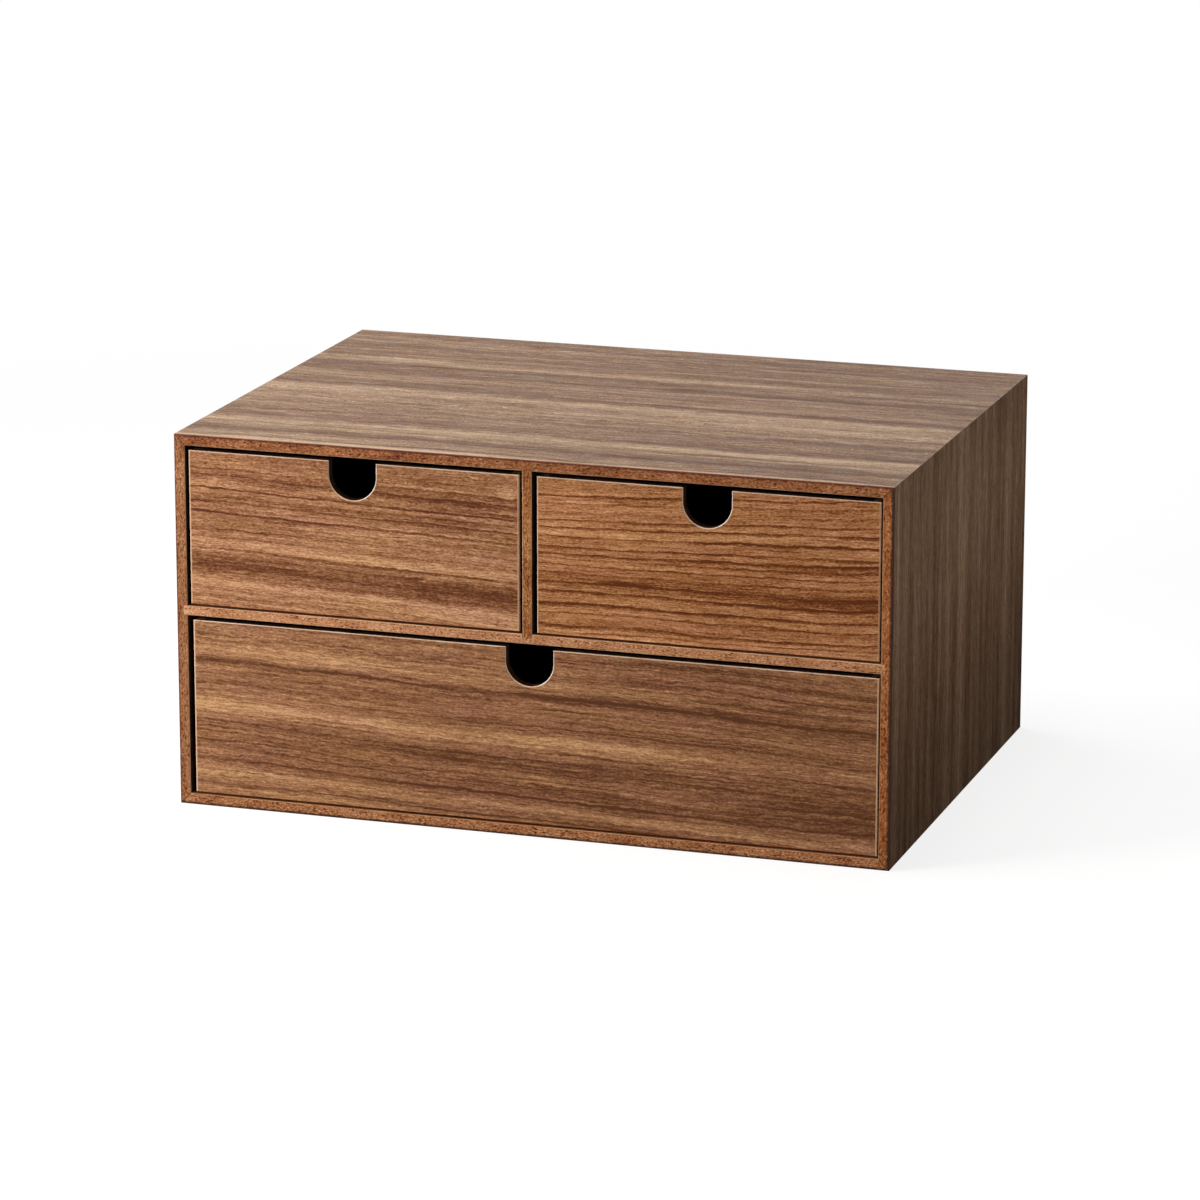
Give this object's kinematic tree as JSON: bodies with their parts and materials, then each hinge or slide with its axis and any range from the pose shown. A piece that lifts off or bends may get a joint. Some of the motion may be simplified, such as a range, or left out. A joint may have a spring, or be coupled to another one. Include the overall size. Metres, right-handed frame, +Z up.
{
  "type": "desktop mini drawers",
  "caption": "Low desk cabinet of walnut-veneered board with mitred corners, small drawers side by side over a wide drawer, and U-shaped finger notches in place of handles.",
  "frame": {"origin": "middle of the underside of the cabinet, on the surface that it stands on", "axes": "+X to the right along the width, seen from the front; +Y to the back; +Z up. The drawer fronts face -Y"},
  "size_m": [0.36, 0.26, 0.186],
  "materials": {
    "walnut_veneer": "satin walnut veneer, stained board edges",
    "front_veneer": "satin walnut veneer, pale bevelled arrises",
    "stained_board": "matt stained board"
  },
  "bodies": {
    "carcass": {"top_panel": "walnut_veneer", "bottom_panel": "walnut_veneer", "left_side_panel": "walnut_veneer", "right_side_panel": "walnut_veneer", "back_panel": "stained_board", "middle_shelf": "walnut_veneer", "centre_divider": "walnut_veneer"},
    "left_drawer": {"left_drawer_front": "front_veneer", "left_drawer_left_side": "stained_board", "left_drawer_right_side": "stained_board", "left_drawer_back": "stained_board", "left_drawer_base": "stained_board"},
    "right_drawer": {"right_drawer_front": "front_veneer", "right_drawer_left_side": "stained_board", "right_drawer_right_side": "stained_board", "right_drawer_back": "stained_board", "right_drawer_base": "stained_board"},
    "lower_drawer": {"lower_drawer_front": "front_veneer", "lower_drawer_left_side": "stained_board", "lower_drawer_right_side": "stained_board", "lower_drawer_back": "stained_board", "lower_drawer_base": "stained_board"}
  },
  "joints": [
    {"name": "left_drawer_slide", "type": "slide", "parent": "carcass", "child": "left_drawer", "axis": [0, -1, 0], "range_m": [0, 0.2]},
    {"name": "right_drawer_slide", "type": "slide", "parent": "carcass", "child": "right_drawer", "axis": [0, -1, 0], "range_m": [0, 0.2]},
    {"name": "lower_drawer_slide", "type": "slide", "parent": "carcass", "child": "lower_drawer", "axis": [0, -1, 0], "range_m": [0, 0.2]}
  ]
}
